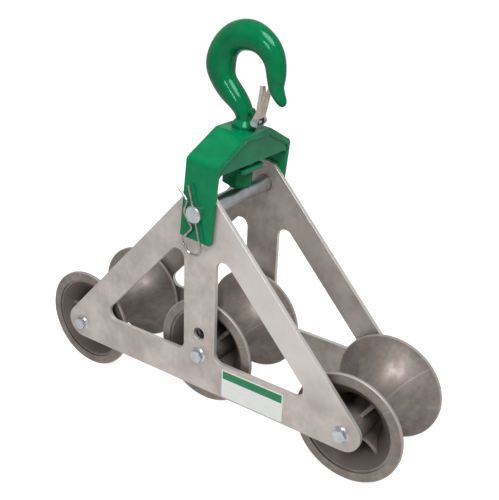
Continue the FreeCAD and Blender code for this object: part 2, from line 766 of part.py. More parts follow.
def make_hook():
    """A forged hook: tapering sections lofted round the bowl, a collar, a shank and a lug for the latch."""
    sections = []
    for number, (x, z, heading, depth, flatness) in enumerate(hook_sections(), start=1):
        section = solid("Ellipse", f"hook_section_{number}", MajorRadius=f"({depth}) / 2",
                        MinorRadius=f"({depth}) / 2 * {flatness}")
        place(section, x, "0", z, ACROSS, f"90 - ({heading})")
        sections.append(section)
    bend = DOC.addObject("Part::Loft", "hook_bend")
    bend.Sections = sections
    bend.Solid = True
    seat = "(yoke_top_rise + hook_seat_gap)"
    collar = solid("Cylinder", "hook_collar", Radius="collar_diameter / 2", Height="collar_height * 0.6")
    place(collar, z=seat)
    neck = solid("Cone", "hook_neck", Radius1="collar_diameter / 2", Radius2="neck_depth / 2",
                 Height="collar_height")
    place(neck, z=f"{seat} + collar_height * 0.6")
    shank = solid("Cylinder", "hook_shank", Radius="shank_diameter / 2",
                  Height=f"{seat} - {SHANK_END} + collar_height")
    place(shank, z=SHANK_END)
    blank = joined("hook_blank", [bend, collar, neck, shank, make_lug()])
    bolt_hole = solid("Cylinder", "hook_bolt_hole", Height="2 * latch_width",
                      Radius="latch_bolt_diameter / 2 + latch_bolt_clearance")
    crosswise(bolt_hole, "latch_pivot_offset", "-latch_width", "latch_pivot_rise")
    pin_hole = solid("Cylinder", "hook_pin_hole", Radius="nut_pin_diameter / 2", Height="2 * nut_hex")
    crosswise(pin_hole, "0", "-nut_hex", NUT_MIDDLE)
    hook = drilled("hook", blank, joined("hook_holes", [bolt_hole, pin_hole]))
    hang(hook)
    return hook


THRUST_FACE = "(yoke_underside_rise - hook_seat_gap)"
WASHER_FACE = f"({THRUST_FACE} - thrust_washer_thickness)"
NUT_BOTTOM = f"({WASHER_FACE} - plate_washer_thickness - nut_height)"
NUT_MIDDLE = f"({NUT_BOTTOM} + nut_height / 2)"
SHANK_END = f"({NUT_BOTTOM} - shank_below_nut)"


def make_lug():
    """The lug at the hook's neck that carries the latch's bolt."""
    body = new_body("hook_lug")
    sketch = new_sketch(body, "hook_lug_outline", "XZ_Plane")
    x, z, radius = "latch_pivot_offset", "latch_pivot_rise", "lug_radius"
    draw_loop(sketch, "lug", [
        ("0", f"{z} - {radius}"),
        (x, f"{z} - {radius}"),
        (f"{x} - {radius} * sin(latch_swing)", f"{z} + {radius} * cos(latch_swing)", radius, 1),
        (f"{x} - {radius} * sin(latch_swing) - lug_rise * tan(latch_swing)",
         f"{z} + {radius} * cos(latch_swing) + lug_rise"),
        ("0", f"{z} + {radius} * cos(latch_swing) + lug_rise"),
    ])
    pad(body, sketch, "hook_lug_pad", "lug_thickness", both_ways=True)
    return body


def make_hook_thrust_washer():
    """The round thrust washer that turns under the yoke's bridge."""
    low = f"{THRUST_FACE} - thrust_washer_thickness"
    disc = solid("Cylinder", "hook_thrust_washer_disc", Radius="thrust_washer_diameter / 2",
                 Height="thrust_washer_thickness")
    hole = solid("Cylinder", "hook_thrust_washer_hole", Radius="shank_diameter / 2", Height="thrust_washer_thickness")
    for item in (disc, hole):
        place(item, z=low)
    washer = drilled("hook_thrust_washer", disc, hole)
    hang(washer)
    return washer


def make_hook_plate_washer():
    """The square washer plate on the nut, with rounded corners."""
    body = new_body("hook_plate_washer")
    half = "(plate_washer_side / 2)"
    sketch = new_sketch(body, "hook_plate_washer_outline", "XY_Plane")
    corners = [(f"{a} * {half}", f"{b} * {half}") for a, b in ((-1, -1), (1, -1), (1, 1), (-1, 1))]
    draw_loop(sketch, "square", corners)
    draw_circle(sketch, "hole", "0", "0", "shank_diameter")
    bind(sketch, "AttachmentOffset.Base.z", f"{WASHER_FACE} - plate_washer_thickness")
    blank = pad(body, sketch, "hook_plate_washer_blank", "plate_washer_thickness")
    dress(body, "Fillet", blank, "hook_plate_washer_corners", "Radius", "plate_washer_corner",
          straight_edges(blank, corners, (0, 1)))
    hang(body)
    return body


def make_hook_nut():
    """The hexagon nut on the shank, drilled across for its roll pin."""
    blank = hexagon("hook_nut_blank", "nut_hex", "nut_height")
    place(blank, z=f"{NUT_BOTTOM} + nut_height", axis=ALONG, turn="180")
    thread = solid("Cylinder", "hook_nut_bore", Radius="shank_diameter / 2", Height="nut_height")
    place(thread, z=NUT_BOTTOM)
    pin_hole = solid("Cylinder", "hook_nut_pin_bore", Radius="nut_pin_diameter / 2", Height="2 * nut_hex")
    crosswise(pin_hole, "0", "-nut_hex", NUT_MIDDLE)
    nut = drilled("hook_nut", blank, joined("hook_nut_holes", [thread, pin_hole]))
    hang(nut)
    return nut


def make_hook_nut_pin():
    """The roll pin that locks the nut on the shank."""
    bar = solid("Cylinder", "hook_nut_pin_bar", Radius="nut_pin_diameter / 2", Height="nut_hex")
    core = solid("Cylinder", "hook_nut_pin_core", Radius="nut_pin_diameter / 4", Height="nut_hex")
    for item in (bar, core):
        crosswise(item, "0", "-nut_hex / 2", NUT_MIDDLE)
    pin = drilled("hook_nut_pin", bar, core)
    hang(pin)
    return pin


LATCH_FOOT = "(lug_radius + 2 * spring_clearance)"


def latch_channel(sketch, width):
    """Draw the latch's channel section of a given width, its web outward."""
    half, web, sheet = f"({width} / 2)", "latch_web_offset", "latch_sheet"
    back = f"({web} - latch_depth)"
    draw_loop(sketch, "channel", [
        (web, f"-{half}"),
        (web, half),
        (back, half),
        (back, f"{half} - {sheet}"),
        (f"{web} - {sheet}", f"{half} - {sheet}"),
        (f"{web} - {sheet}", f"{sheet} - {half}"),
        (back, f"{sheet} - {half}"),
        (back, f"-{half}"),
    ])


def make_latch():
    """A latch pressed from sheet: a flaring channel, notched for the hook's point, with two ears on the bolt."""
    body = new_body("latch")
    ear = "latch_ear_radius"
    side = new_sketch(body, "latch_side", "XZ_Plane")
    draw_loop(side, "side", [
        (f"-{ear}", "0"),
        ("latch_web_offset", f"-sqrt({ear} ^ 2 - latch_web_offset ^ 2)", ear, 1),
        ("latch_web_offset", f"{LATCH_FOOT} + 2 * latch_depth"),
        ("latch_web_offset - latch_depth", f"{LATCH_FOOT} + 2 * latch_depth"),
    ])
    pad(body, side, "latch_ears", "latch_width", both_ways=True)
    hollow = new_sketch(body, "latch_hollow", "XZ_Plane")
    draw_loop(hollow, "hollow", [
        ("-latch_width", "-latch_width"),
        ("latch_width", "-latch_width"),
        ("latch_width", "2 * latch_width"),
        ("-latch_width", "2 * latch_width"),
    ])
    pocket(body, hollow, "latch_inside", "latch_width - 2 * latch_sheet")
    sections = []
    for name, width, height in (("foot", "latch_width", LATCH_FOOT), ("tip", "latch_tip_width", "latch_length")):
        section = new_sketch(body, f"latch_{name}", "XY_Plane")
        latch_channel(section, width)
        bind(section, "AttachmentOffset.Base.z", height)
        sections.append(section)
    DOC.recompute()
    channel = body.newObject("PartDesign::AdditiveLoft", "latch_flare")
    channel.Profile = sections[0]
    channel.Sections = sections[1:]
    DOC.recompute()
    notch = new_sketch(body, "latch_notch_outline", "YZ_Plane")
    draw_loop(notch, "notch", [
        ("0", "latch_length - latch_notch_depth"),
        ("latch_notch_width / 2", "latch_length"),
        ("-latch_notch_width / 2", "latch_length"),
    ])
    pocket(body, notch, "latch_notch", "4 * latch_width")
    bolt_hole = new_sketch(body, "latch_bolt_outline", "XZ_Plane")
    draw_circle(bolt_hole, "bolt", "0", "0", "latch_bolt_diameter + 2 * latch_bolt_clearance")
    pocket(body, bolt_hole, "latch_bolt_hole", "2 * latch_width")
    place_on_pivot(body, "yoke_lean + latch_lean")
    return body


def place_on_pivot(item, turn):
    """Place a sub-part whose own origin is on the latch's bolt axis."""
    x, z = "latch_pivot_offset", "latch_pivot_rise"
    place(item, f"{x} * cos(yoke_lean) + {z} * sin(yoke_lean)", "0",
          f"{PIN_HEIGHT} - {x} * sin(yoke_lean) + {z} * cos(yoke_lean)", ACROSS, turn)


def make_latch_bolt():
    """The latch's pivot bolt, its head on the near ear."""
    head = solid("Prism", "latch_bolt_hex", Circumradius="latch_bolt_hex / sqrt(3)", Height="latch_bolt_head")
    head.Polygon = 6
    crosswise(head, "0", "-latch_width / 2 - side_clearance - latch_bolt_head", "0")
    shank = solid("Cylinder", "latch_bolt_shank", Radius="latch_bolt_diameter / 2",
                  Height="latch_width + 2 * side_clearance + latch_bolt_head")
    crosswise(shank, "0", "-latch_width / 2 - side_clearance", "0")
    bolt = joined("latch_bolt", [head, shank])
    place_on_pivot(bolt, "yoke_lean")
    return bolt


def make_latch_nut():
    """The nut on the latch's pivot bolt."""
    blank = solid("Prism", "latch_nut_hex", Circumradius="latch_bolt_hex / sqrt(3)", Height="latch_bolt_head")
    blank.Polygon = 6
    bore = solid("Cylinder", "latch_nut_bore", Radius="latch_bolt_diameter / 2", Height="latch_bolt_head")
    for item in (blank, bore):
        crosswise(item, "0", "latch_width / 2 + side_clearance", "0")
    nut = drilled("latch_nut", blank, bore)
    place_on_pivot(nut, "yoke_lean")
    return nut


def make_latch_spring():
    """The sprung wires beside the lug, each from the latch's web round the bolt to the neck."""
    wire = value("spring_wire")
    turn = value("latch_bolt_diameter / 2 + spring_clearance") + wire / 2
    foot = value(LATCH_FOOT)
    leg = value("spring_leg")
    web = value("latch_web_offset - latch_sheet - spring_wire / 2 - spring_clearance")
    beside = value("lug_thickness / 2 + spring_wire / 2 + spring_clearance")
    pieces = []
    for hand, y in (("near", -beside), ("far", beside)):
        corners = [
            (Vector(web, y, leg), 0),
            (Vector(web, y, foot * 1.1), wire * 1.25),
            (Vector(turn * 1.15, y, turn * 0.4), wire * 1.25),
            (Vector(turn * 0.9, y, -turn * 1.1), turn * 0.8),
            (Vector(-turn * 1.05, y, -turn * 1.1), turn * 0.8),
            (Vector(-turn * 1.1, y, turn * 0.6), wire * 1.25),
            (Vector(-leg * 0.88, y, leg * 0.62), 0),
        ]
        side = DOC.addObject("Part::Feature", f"spring_{hand}")
        side.Shape = swept_wire(wire_path(corners), wire / 2)
        pieces.append(side)
    spring = group("latch_spring", pieces)
    place_on_pivot(spring, "yoke_lean")
    return spring


def make_all():
    """Make every sub-part, in the order that the sheave is put together."""
    parts = [
        make_side_plate("side_plate_near", f"-{PLATE_INNER}"),
        make_side_plate("side_plate_far", PLATE_OUTER),
        make_axle_washers(),
        make_axle_bolts("near", -1),
        make_axle_bolts("far", 1),
    ]
    for side in AXLES:
        parts += [make_axle(side), make_sheave_hub(side), make_bushes(side)]
        parts += [make_sheave_bell(side, end) for end in BELL_TURNS]
    parts += [make_yoke(), make_clevis_pin(), make_hitch_clip()]
    parts += [make_hook(), make_hook_thrust_washer(), make_hook_plate_washer()]
    parts += [make_hook_nut(), make_hook_nut_pin()]
    parts += [make_latch(), make_latch_bolt(), make_latch_nut(), make_latch_spring()]
    return parts


def check_and_write(parts):
    """Stop if anything failed to build, and write each sub-part to its own file."""
    DOC.recompute()
    for item in DOC.Objects:
        if "Invalid" in item.State or "Error" in item.State:
            raise RuntimeError(f"{item.Label} did not build: {item.State}")
    os.makedirs("parts", exist_ok=True)
    for part in parts:
        if part.Shape.isNull() or not part.Shape.isValid():
            raise RuntimeError(f"{part.Label} has no valid shape")
    for part in parts:
        part.Shape.exportStep(f"parts/{part.Label}.step")


check_and_write(make_all())
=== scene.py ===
"""Looks for the triple cable pulling sheave.

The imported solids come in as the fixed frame. Every node gets the finish of the real piece, small
pieces that the solids leave out are built onto them, and a pale studio with one camera is set
round the whole.
"""

import math
import random

import bmesh
import bpy
from bpy.props import FloatProperty, PointerProperty, StringProperty
from mathutils import Matrix, Vector


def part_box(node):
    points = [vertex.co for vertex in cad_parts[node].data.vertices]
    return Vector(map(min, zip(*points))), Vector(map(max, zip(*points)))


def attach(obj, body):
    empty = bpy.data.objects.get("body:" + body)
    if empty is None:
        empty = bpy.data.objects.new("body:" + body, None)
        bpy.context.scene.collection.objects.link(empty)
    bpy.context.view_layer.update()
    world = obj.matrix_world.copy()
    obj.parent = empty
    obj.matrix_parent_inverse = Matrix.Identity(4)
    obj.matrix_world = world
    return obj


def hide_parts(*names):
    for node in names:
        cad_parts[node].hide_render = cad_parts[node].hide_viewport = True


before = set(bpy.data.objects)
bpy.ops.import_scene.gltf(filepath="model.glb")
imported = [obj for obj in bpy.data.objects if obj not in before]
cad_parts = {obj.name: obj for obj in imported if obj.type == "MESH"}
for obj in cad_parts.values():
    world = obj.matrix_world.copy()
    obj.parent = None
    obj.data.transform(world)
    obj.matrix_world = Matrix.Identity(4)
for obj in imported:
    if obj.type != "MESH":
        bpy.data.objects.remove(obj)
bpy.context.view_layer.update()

bl_info = {
    "name": "Triple Cable Pulling Sheave",
    "version": (1, 0, 0),
    "blender": (4, 5, 0),
    "location": "3D View > Sidebar > Sheave",
    "description": "Finishes and small pieces for a triple cable pulling sheave",
    "category": "Object",
}

MM = 0.001
# the photograph's width in pixels, and the camera's sensor in millimetres
PHOTO_WIDTH = 499
SENSOR_WIDTH = 36.0
# the clevis pin's height in millimetres, and how far the yoke and hook on it lean to +X, in degrees
PIN_HEIGHT = 302.1
LEAN = 5.7
# the plane through the axle in which each sheave's mould parted, in degrees from +X towards +Z
PARTINGS = {"left": 118.0, "middle": 205.0, "right": 42.5}


# ---- colour, nodes and materials


def linear(code):
    """Turn an sRGB hex colour into the linear colour that a shader takes."""
    parts = [int(code[i : i + 2], 16) / 255 for i in (1, 3, 5)]
    return (*[c / 12.92 if c <= 0.04045 else ((c + 0.055) / 1.055) ** 2.4 for c in parts], 1.0)


def add(tree, kind, *sources, **settings):
    """Add a node and give its output: sources feed its inputs in order, settings go by name."""
    made = tree.nodes.new(kind)
    named = {}
    for name, setting in settings.items():
        if name == "stops":
            ramp = made.color_ramp.elements
            while len(ramp) < len(setting):
                ramp.new(1.0)
            for stop, (position, code) in zip(ramp, setting):
                stop.position, stop.color = position, linear(code)
        elif hasattr(made, name):
            setattr(made, name, setting)
        else:
            named[name.replace("_", " ")] = setting
    inputs = [socket for socket in made.inputs if socket.enabled]
    pairs = list(zip(inputs, sources))
    pairs += [(next(socket for socket in inputs if socket.name == name), source)
              for name, source in named.items()]
    for socket, source in pairs:
        if isinstance(source, bpy.types.NodeSocket):
            tree.links.new(source, socket)
        else:
            socket.default_value = linear(source) if isinstance(source, str) else source
    return next(socket for socket in made.outputs if socket.enabled)


def start(name, **finish):
    """Start a material with a Principled shader of plain values."""
    material = bpy.data.materials.new(name)
    material.use_nodes = True
    tree = material.node_tree
    shader = tree.nodes["Principled BSDF"]
    for socket, setting in finish.items():
        shader.inputs[socket.replace("_", " ")].default_value = setting
    return material, tree, shader


def place(tree, size):
    """Give the surface's own coordinates, in patches of so many millimetres along X, Y and Z."""
    own = add(tree, "ShaderNodeTexCoord").node.outputs["Object"]
    return add(tree, "ShaderNodeMapping", own, Scale=tuple(1 / (s * MM) for s in size))


def castings(side):
    """Name the CAD nodes of one sheave's casting: its two bells and its hub."""
    return [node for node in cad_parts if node.startswith("sheave_") and f"_{side}" in node]


def dress(node, material):
    """Give a CAD node one material."""
    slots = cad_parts[node].data.materials
    slots.clear()
    slots.append(material)


def piece(name, mesh, body, slot, *materials):
    """Put a new mesh into the scene as a piece that moves with a CAD body."""
    made = bpy.data.objects.new(name, mesh)
    bpy.context.scene.collection.objects.link(made)
    for material in materials:
        mesh.materials.append(material)
    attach(made, body)
    return made


def heading(path, here):
    """Give the direction in which a path runs at one of its points."""
    before, after = path[max(0, here - 1)], path[min(len(path) - 1, here + 1)]
    return (after - before).normalized()


def tube(shape, path, radii, out, sides=12):
    """Join round rings along a path in the plane that faces out, and close both ends."""
    turns = [2 * math.pi * k / sides for k in range(sides)]
    rings = []
    for here, (point, radius) in enumerate(zip(path, radii)):
        down = heading(path, here).cross(out)
        spokes = [out * math.cos(turn) + down * math.sin(turn) for turn in turns]
        rings.append([shape.verts.new(point + spoke * radius) for spoke in spokes])
    for one, two in zip(rings, rings[1:]):
        for k in range(sides):
            shape.faces.new((one[k], one[k - 1], two[k - 1], two[k]))
    shape.faces.new(rings[0])
    shape.faces.new(reversed(rings[-1]))


def closed_mesh(name, shape):
    """Turn a finished shape into a mesh whose faces look outward."""
    bmesh.ops.recalc_face_normals(shape, faces=shape.faces)
    mesh = bpy.data.meshes.new(name)
    shape.to_mesh(mesh)
    shape.free()
    return mesh


# ---- finishes, each named for the real material and how its surface was made


def mill_finish_aluminium_painted_light(side, dull, middle, bright, painted_highlight):
    """Rolled aluminium plate, cut and left bare: warm grey, clouded by hands, its edges bright, and
    a painted highlight on the arm above the right sheave.
    """
    edge_and_highlight_colour = bpy.context.scene.sheave_plates.edge
    material, tree, shader = start(f"mill_finish_aluminium_{side}", Metallic=0.7)
    # clouds of oxide and hand marks, 42 mm across, with stains of 9 mm in them
    clouds = add(tree, "ShaderNodeTexNoise", place(tree, (42, 42, 36)), Scale=1.0, Detail=4.0,
                 Roughness=0.5)
    stains = add(tree, "ShaderNodeTexNoise", place(tree, (9, 9, 13)), Scale=1.0, Detail=3.0,
                 Roughness=0.6)
    marks = add(tree, "ShaderNodeMath", clouds, 0.7, operation="MULTIPLY")
    marks = add(tree, "ShaderNodeMath", stains, 0.3, marks, operation="MULTIPLY_ADD")
    # painted highlight: the arm above the right sheave is painted brightest, as a lamp's broad
    # reflection, and it fades in 20 to 75 mm along and 95 to 150 mm up
    surface = add(tree, "ShaderNodeTexCoord").node.outputs
    where = add(tree, "ShaderNodeSeparateXYZ", surface["Object"]).node.outputs
    along = add(tree, "ShaderNodeMapRange", where["X"], 20 * MM, 75 * MM)
    up = add(tree, "ShaderNodeMapRange", where["Z"], 95 * MM, 150 * MM)
    rubbed = add(tree, "ShaderNodeMath", along, up, operation="MULTIPLY")
    face = add(tree, "ShaderNodeValToRGB", marks,
               stops=[(0.36, dull), (0.5, middle), (0.64, bright)])
    # the mask named rubbed here is the painted highlight, as strong as the plate's setting, in the
    # cut edges' colour
    rubbed = add(tree, "ShaderNodeMath", rubbed, painted_highlight, operation="MULTIPLY")
    face = add(tree, "ShaderNodeMix", rubbed, face, edge_and_highlight_colour, data_type="RGBA")
    # the saw left the edges bright: they face along the plate, where the faces look along Y
    sideways = add(tree, "ShaderNodeVectorMath", surface["Normal"], (0, 1, 0),
                   operation="DOT_PRODUCT")
    sideways = add(tree, "ShaderNodeMath", sideways, operation="ABSOLUTE")
    edge = add(tree, "ShaderNodeMapRange", sideways, 0.35, 0.75, 1.0, 0.0)
    both = add(tree, "ShaderNodeMix", edge, face, edge_and_highlight_colour, data_type="RGBA")
    tree.links.new(both, shader.inputs["Base Color"])
    sheen = add(tree, "ShaderNodeMapRange", marks, 0.38, 0.62, 0.56, 0.4)
    tree.links.new(sheen, shader.inputs["Roughness"])
    # rolling lines up the plate, and a grain: both drawn at 1 to 2 mm, coarse enough to show
    lines = add(tree, "ShaderNodeTexNoise", place(tree, (1.0, 1.0, 45)), Scale=1.0, Detail=2.0)
    grain = add(tree, "ShaderNodeTexNoise", place(tree, (1.6, 1.6, 2.2)), Scale=1.0, Detail=2.0)
    relief = add(tree, "ShaderNodeBump", Height=lines, Strength=0.06, Distance=0.2 * MM)
    relief = add(tree, "ShaderNodeBump", Height=grain, Strength=0.06, Distance=0.2 * MM,
                 Normal=relief)
    tree.links.new(relief, shader.inputs["Normal"])
    return material


def sand_cast_aluminium(side):
    """Sand cast aluminium, its lips turned: mottled grey, with painted shade in the hollow bells, a
    painted highlight on the rims, and the mould's seam.
    """
    tone = bpy.context.scene.sheave_castings
    material, tree, shader = start(f"sand_cast_aluminium_{side}", Metallic=0.6)
    corners = [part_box(node) for node in castings(side)]
    low = [min(box[0][axis] for box in corners) / MM for axis in range(3)]
    high = [max(box[1][axis] for box in corners) / MM for axis in range(3)]
    axle = [(a + b) / 2 for a, b in zip(low, high)]
    rim = (high[2] - low[2]) / 2
    surface = add(tree, "ShaderNodeTexCoord").node.outputs
    centred = add(tree, "ShaderNodeMapping", surface["Object"], Scale=(1 / MM, 1 / MM, 1 / MM),
                  Location=[-a for a in axle])
    spoke = add(tree, "ShaderNodeVectorMath", centred, (1, 0, 1), operation="MULTIPLY")
    reach = add(tree, "ShaderNodeVectorMath", spoke, operation="LENGTH")
    # blotches of casting skin, 20 mm across, with specks of 4 mm and streaks along the axle in them
    blotches = add(tree, "ShaderNodeTexNoise", place(tree, (20, 28, 20)), Scale=1.0, Detail=4.0,
                   Roughness=0.55)
    specks = add(tree, "ShaderNodeTexNoise", place(tree, (4, 5, 4)), Scale=1.0, Detail=3.0,
                 Roughness=0.6)
    streaks = add(tree, "ShaderNodeTexNoise", place(tree, (6, 50, 6)), Scale=1.0, Detail=2.0)
    mottle = add(tree, "ShaderNodeMath", blotches, 0.6, operation="MULTIPLY")
    mottle = add(tree, "ShaderNodeMath", specks, 0.15, mottle, operation="MULTIPLY_ADD")
    mottle = add(tree, "ShaderNodeMath", streaks, 0.25, mottle, operation="MULTIPLY_ADD")
    skin = add(tree, "ShaderNodeValToRGB", mottle,
               stops=[(0.38, tone.dull), (0.5, tone.skin), (0.62, tone.rubbed)])
    # the bells' inner faces look towards the axle, which this product tells, and are painted
    # darker: painted shade, as falls in the hollow bells
    facing = add(tree, "ShaderNodeVectorMath", surface["Normal"], spoke, operation="DOT_PRODUCT")
    outside = add(tree, "ShaderNodeMapRange", facing, -18.0, -4.0, 0.0, 1.0)
    skin = add(tree, "ShaderNodeMix", outside, tone.inside, skin, data_type="RGBA")
    # the mould's halves met in a plane through the axle, and left a line 2 mm wide, standing proud
    parting = math.radians(PARTINGS[side])
    off = add(tree, "ShaderNodeVectorMath", centred, (-math.sin(parting), 0, math.cos(parting)),
              operation="DOT_PRODUCT")
    off = add(tree, "ShaderNodeMath", off, operation="ABSOLUTE")
    seam = add(tree, "ShaderNodeMapRange", off, 0.3, 1.4, 1.0, 0.0)
    seam = add(tree, "ShaderNodeMath", seam, outside, operation="MULTIPLY")
    faint = add(tree, "ShaderNodeMath", seam, 0.35, operation="MULTIPLY")
    skin = add(tree, "ShaderNodeMix", faint, skin, tone.turned, data_type="RGBA")
    # the lips were turned; their outermost 2 mm are partly rubbed bright and partly a painted
    # highlight along the rim's edge
    lip = add(tree, "ShaderNodeMapRange", reach, rim - 2.0, rim - 0.6)
    lip = add(tree, "ShaderNodeMath", lip, outside, operation="MULTIPLY")
    skin = add(tree, "ShaderNodeMix", lip, skin, tone.turned, data_type="RGBA")
    tree.links.new(skin, shader.inputs["Base Color"])
    sheen = add(tree, "ShaderNodeMapRange", mottle, 0.4, 0.6, 0.6, 0.48)
    tree.links.new(sheen, shader.inputs["Roughness"])
    # sand grit, drawn at 1.5 mm to show, pits the skin, which waves a little over 14 mm
    grit = add(tree, "ShaderNodeTexNoise", place(tree, (1.5, 1.5, 1.5)), Scale=1.0, Detail=2.0)
    waves = add(tree, "ShaderNodeTexNoise", place(tree, (14, 18, 14)), Scale=1.0, Detail=1.0)
    relief = add(tree, "ShaderNodeBump", Height=waves, Strength=0.1, Distance=1.0 * MM)
    relief = add(tree, "ShaderNodeBump", Height=grit, Strength=0.12, Distance=0.25 * MM,
                 Normal=relief)
    relief = add(tree, "ShaderNodeBump", Height=seam, Strength=0.4, Distance=0.3 * MM,
                 Normal=relief)
    tree.links.new(relief, shader.inputs["Normal"])
    return material


def gloss_enamel(part, colour, thick):
    """Gloss enamel, sprayed on forged and welded steel: deep green and wet, with orange peel."""
    # the pigment stays in part of the shine, and a thin clear skin on top gives the rest
    spread = bpy.context.scene.sheave_paint.roughness
    material, tree, shader = start(
        f"gloss_enamel_{part}", Metallic=0.0, Roughness=spread, IOR=1.5, Specular_IOR_Level=0.2,
        Specular_Tint=linear("#46DCB4"), Coat_Weight=0.25, Coat_Roughness=0.07)
    # the coat lies a little thicker and darker in patches of 20 mm
    coat = add(tree, "ShaderNodeTexNoise", place(tree, (20, 20, 20)), Scale=1.0, Detail=3.0)
    coat = add(tree, "ShaderNodeMapRange", coat, 0.38, 0.62)
    colour = add(tree, "ShaderNodeMix", coat, thick, colour, data_type="RGBA")
    tree.links.new(colour, shader.inputs["Base Color"])
    # orange peel of 3 mm, over forge marks of 14 mm
    peel = add(tree, "ShaderNodeTexNoise", place(tree, (3, 3, 3)), Scale=1.0, Detail=1.0)
    waves = add(tree, "ShaderNodeTexNoise", place(tree, (14, 14, 14)), Scale=1.0, Detail=2.0)
    relief = add(tree, "ShaderNodeBump", Height=waves, Strength=0.22, Distance=1.4 * MM)
    relief = add(tree, "ShaderNodeBump", Height=peel, Strength=0.08, Distance=0.4 * MM,
                 Normal=relief)
    tree.links.new(relief, shader.inputs["Normal"])
    return material


def bright_zinc():
    """Steel, zinc plated in a barrel: silver with a blue cast and a soft, even shine."""
    material, tree, shader = start("bright_zinc", Metallic=1.0)
    # passivation tints it in patches of 8 mm
    patches = add(tree, "ShaderNodeTexNoise", place(tree, (8, 8, 8)), Scale=1.0, Detail=3.0)
    patches = add(tree, "ShaderNodeMapRange", patches, 0.35, 0.65)
    colour = add(tree, "ShaderNodeMix", patches, "#BAC0C5", "#CCD1D5", data_type="RGBA")
    tree.links.new(colour, shader.inputs["Base Color"])
    sheen = add(tree, "ShaderNodeMapRange", patches, 0.0, 1.0, 0.34, 0.28)
    tree.links.new(sheen, shader.inputs["Roughness"])
    # knocks from the plating barrel, drawn at 1.5 mm to show
    barrel = add(tree, "ShaderNodeTexNoise", place(tree, (1.5, 1.5, 1.5)), Scale=1.0, Detail=2.0)
    relief = add(tree, "ShaderNodeBump", Height=barrel, Strength=0.03, Distance=0.1 * MM)
    tree.links.new(relief, shader.inputs["Normal"])
    return material


def zinc_plated_wire():
    """Hard drawn wire, zinc plated: grey, with a sharp bright line down its length."""
    material, tree, shader = start("zinc_plated_wire", Metallic=1.0, Roughness=0.24)
    # the bending tool rubbed it in patches of 6 mm
    rubbed = add(tree, "ShaderNodeTexNoise", place(tree, (6, 6, 6)), Scale=1.0, Detail=2.0)
    rubbed = add(tree, "ShaderNodeMapRange", rubbed, 0.35, 0.65)
    colour = add(tree, "ShaderNodeMix", rubbed, "#93918E", "#B4B2AF", data_type="RGBA")
    tree.links.new(colour, shader.inputs["Base Color"])
    return material


def turned_steel():
    """Mild steel bar, turned in a lathe: mid grey with a tight, streaked shine."""
    material, tree, shader = start("turned_steel", Metallic=1.0, Roughness=0.38)
    # oil stains of 12 mm
    stains = add(tree, "ShaderNodeTexNoise", place(tree, (12, 12, 12)), Scale=1.0, Detail=3.0)
    stains = add(tree, "ShaderNodeMapRange", stains, 0.35, 0.65)
    colour = add(tree, "ShaderNodeMix", stains, "#7C7B7D", "#97969A", data_type="RGBA")
    tree.links.new(colour, shader.inputs["Base Color"])
    # tool lines go round the bar, 0.6 mm apart along Y
    cuts = add(tree, "ShaderNodeTexNoise", place(tree, (200, 0.6, 200)), Scale=1.0, Detail=2.0)
    relief = add(tree, "ShaderNodeBump", Height=cuts, Strength=0.1, Distance=0.2 * MM)
    tree.links.new(relief, shader.inputs["Normal"])
    return material


def sintered_bronze():
    """Oil-filled bronze, pressed and sintered: a matt brown gold, grainy and damp with oil."""
    material, tree, shader = start("sintered_bronze", Metallic=1.0)
    # pressed grains, drawn at 0.8 mm to show
    grains = add(tree, "ShaderNodeTexNoise", place(tree, (0.8, 0.8, 0.8)), Scale=1.0, Detail=2.0)
    grains = add(tree, "ShaderNodeMapRange", grains, 0.35, 0.65)
    colour = add(tree, "ShaderNodeMix", grains, "#84683F", "#B08C57", data_type="RGBA")
    tree.links.new(colour, shader.inputs["Base Color"])
    sheen = add(tree, "ShaderNodeMapRange", grains, 0.0, 1.0, 0.55, 0.4)
    tree.links.new(sheen, shader.inputs["Roughness"])
    relief = add(tree, "ShaderNodeBump", Height=grains, Strength=0.1, Distance=0.2 * MM)
    tree.links.new(relief, shader.inputs["Normal"])
    return material


def pressed_sheet_steel():
    """Sheet steel, pressed and dull plated: pale warm grey, rubbed along its length."""
    material, tree, shader = start("pressed_sheet_steel", Metallic=0.85, Roughness=0.4)
    # rub marks 3 mm wide and 16 mm long
    rubbed = add(tree, "ShaderNodeTexNoise", place(tree, (3, 3, 16)), Scale=1.0, Detail=3.0)
    rubbed = add(tree, "ShaderNodeMapRange", rubbed, 0.35, 0.65)
    colour = add(tree, "ShaderNodeMix", rubbed, "#B4A799", "#D8CDC1", data_type="RGBA")
    tree.links.new(colour, shader.inputs["Base Color"])
    relief = add(tree, "ShaderNodeBump", Height=rubbed, Strength=0.08, Distance=0.2 * MM)
    tree.links.new(relief, shader.inputs["Normal"])
    return material


def oiled_spring_wire():
    """Hardened wire, quenched in oil: nearly black, with a soft gleam."""
    material, tree, shader = start("oiled_spring_wire", Metallic=0.8, Roughness=0.35)
    # quenching scale in patches of 2 mm
    scale = add(tree, "ShaderNodeTexNoise", place(tree, (2, 2, 2)), Scale=1.0, Detail=3.0)
    colour = add(tree, "ShaderNodeMix", scale, "#161514", "#35312D", data_type="RGBA")
    tree.links.new(colour, shader.inputs["Base Color"])
    return material


def vinyl(name, clean, rubbed):
    """Vinyl film, calendered and printed: even colour with a low satin shine, faintly scuffed."""
    material, tree, shader = start(name, Metallic=0.0, Roughness=0.4, IOR=1.5)
    # scuffs 14 mm long and 2.5 mm high
    scuffs = add(tree, "ShaderNodeTexNoise", place(tree, (14, 14, 2.5)), Scale=1.0, Detail=4.0,
                 Roughness=0.65)
    scuffs = add(tree, "ShaderNodeMapRange", scuffs, 0.55, 0.75)
    colour = add(tree, "ShaderNodeMix", scuffs, clean, rubbed, data_type="RGBA")
    tree.links.new(colour, shader.inputs["Base Color"])
    return material


# ---- settings that a user would change


